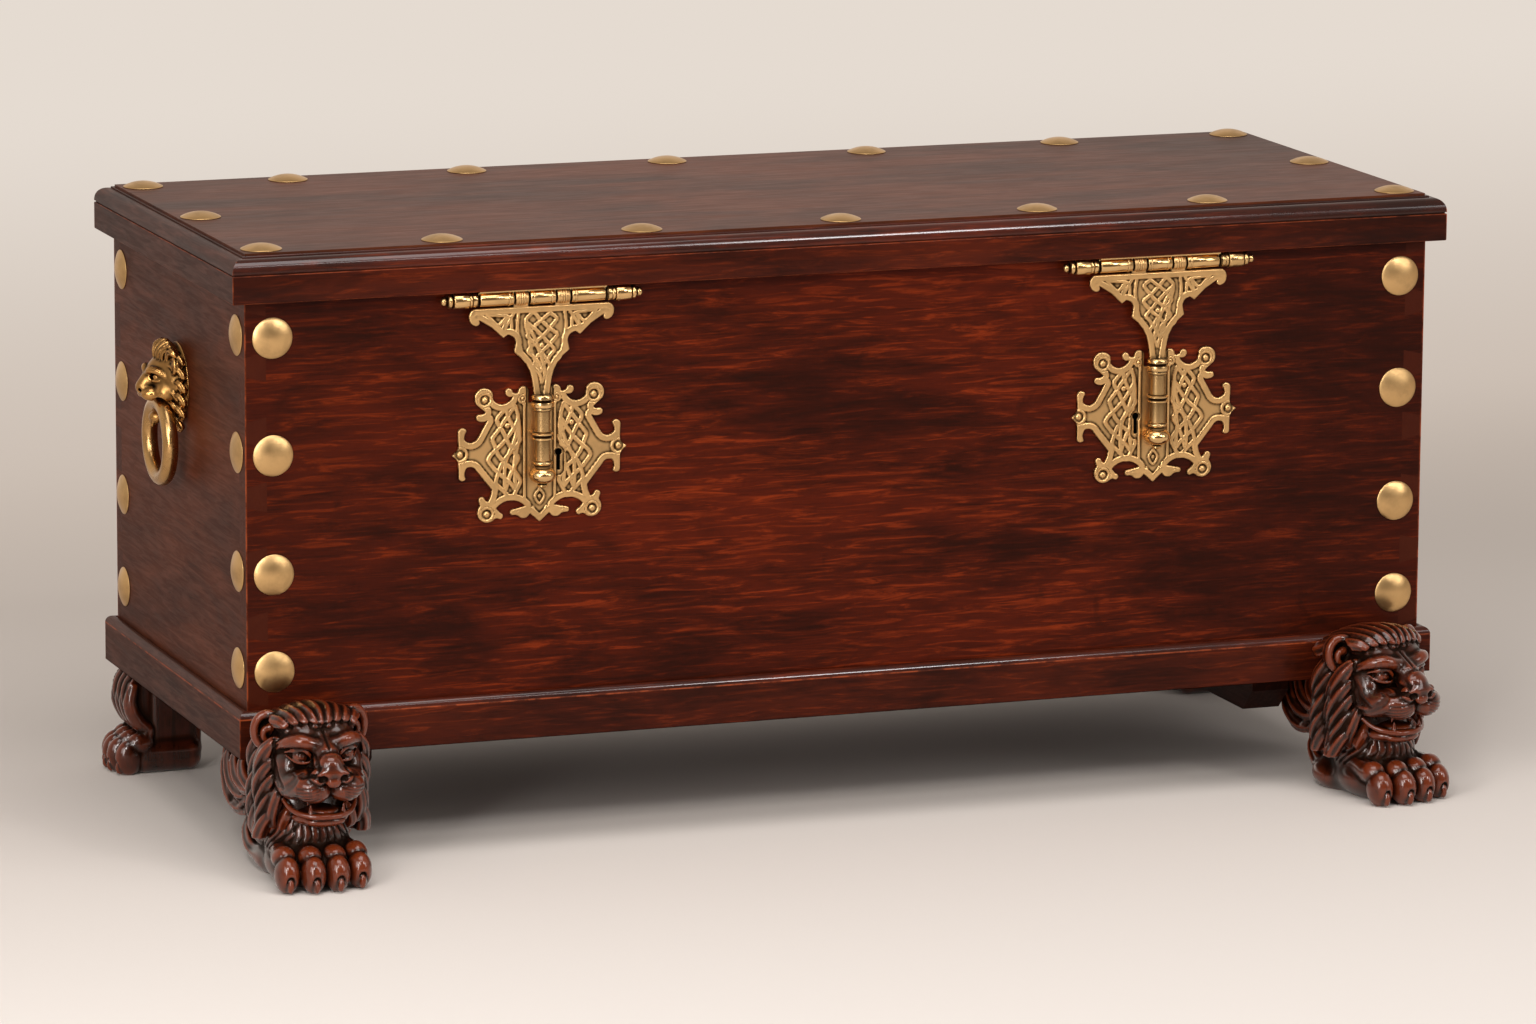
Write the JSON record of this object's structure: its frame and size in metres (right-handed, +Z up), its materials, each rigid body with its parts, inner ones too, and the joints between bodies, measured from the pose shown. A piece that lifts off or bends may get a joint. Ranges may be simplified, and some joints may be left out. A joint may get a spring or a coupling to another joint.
{
  "type": "cassone",
  "caption": "Long lidded wooden chest on carved lion feet, with domed studs, two hasp locks and ring handles held by lion masks.",
  "frame": {"origin": "on the floor under the middle of the whole chest, feet included", "axes": "+X along the chest to the right seen from the front, +Y to the back, +Z up"},
  "size_m": [1.256, 0.58, 0.5742],
  "materials": {
    "case_wood": "dark red-brown, waxed, worn",
    "lid_wood": "dark red-brown, waxed, worn",
    "carved_wood": "dark red-brown carving with pale wax in the grooves",
    "brass": "satin antique brass",
    "iron": "dark forged iron"
  },
  "bodies": {
    "case": {"front_board": "case_wood", "back_board": "case_wood", "left_end_board": "case_wood", "right_end_board": "case_wood", "bottom_board": "case_wood", "plinth_front": "case_wood", "plinth_back": "case_wood", "plinth_left": "case_wood", "plinth_right": "case_wood", "bearer_left": "case_wood", "bearer_right": "case_wood", "foot_front_left": "carved_wood", "foot_front_right": "carved_wood", "foot_rear_left": "carved_wood", "foot_rear_right": "carved_wood", "studs_front": "brass", "studs_left_end": "brass", "studs_right_end": "brass", "hinge_case_leaf_left": "iron", "hinge_case_leaf_right": "iron", "hinge_pins": "iron", "lock_plate_left": "brass", "lock_plate_right": "brass", "lock_case_left": "iron", "lock_case_right": "iron", "handle_mask_left": "brass", "handle_mask_right": "brass", "handle_bolts": "iron", "handle_nuts": "iron"},
    "lid": {"lid_board": "lid_wood", "lid_rim_front": "lid_wood", "lid_rim_back": "lid_wood", "lid_rim_left": "lid_wood", "lid_rim_right": "lid_wood", "lid_moulding_front": "lid_wood", "lid_moulding_back": "lid_wood", "lid_moulding_left": "lid_wood", "lid_moulding_right": "lid_wood", "studs_lid": "brass", "hinge_lid_leaf_left": "iron", "hinge_lid_leaf_right": "iron", "hasp_leaf_left": "brass", "hasp_leaf_right": "brass", "hasp_pin_left": "brass", "hasp_pin_right": "brass"},
    "hasp_left": {"hasp_strap_left": "brass", "hasp_bar_left": "brass", "hasp_staple_left": "brass"},
    "ring_left": {"handle_ring_left": "brass"},
    "lock_bolt_left": {"lock_bolt_left": "iron"},
    "hasp_right": {"hasp_strap_right": "brass", "hasp_bar_right": "brass", "hasp_staple_right": "brass"},
    "ring_right": {"handle_ring_right": "brass"},
    "lock_bolt_right": {"lock_bolt_right": "iron"}
  },
  "joints": [
    {"name": "lid_hinge", "type": "hinge", "parent": "case", "child": "lid", "pos_m": [0, 0.2758, 0.5192], "axis": [-1, 0, 0], "range_deg": [0, 95]},
    {"name": "hasp_hinge_left", "type": "hinge", "parent": "lid", "child": "hasp_left", "pos_m": [-0.3055, -0.178, 0.517], "axis": [-1, 0, 0], "range_deg": [0, 105]},
    {"name": "ring_swing_left", "type": "hinge", "parent": "case", "child": "ring_left", "pos_m": [-0.603, 0.05, 0.3967], "axis": [0, 1, 0], "range_deg": [0, 90]},
    {"name": "lock_slide_left", "type": "slide", "parent": "case", "child": "lock_bolt_left", "axis": [-1, 0, 0], "range_m": [0, 0.0085]},
    {"name": "hasp_hinge_right", "type": "hinge", "parent": "lid", "child": "hasp_right", "pos_m": [0.3055, -0.178, 0.517], "axis": [-1, 0, 0], "range_deg": [0, 105]},
    {"name": "ring_swing_right", "type": "hinge", "parent": "case", "child": "ring_right", "pos_m": [0.603, 0.05, 0.3967], "axis": [0, -1, 0], "range_deg": [0, 90]},
    {"name": "lock_slide_right", "type": "slide", "parent": "case", "child": "lock_bolt_right", "axis": [1, 0, 0], "range_m": [0, 0.0085]}
  ]
}
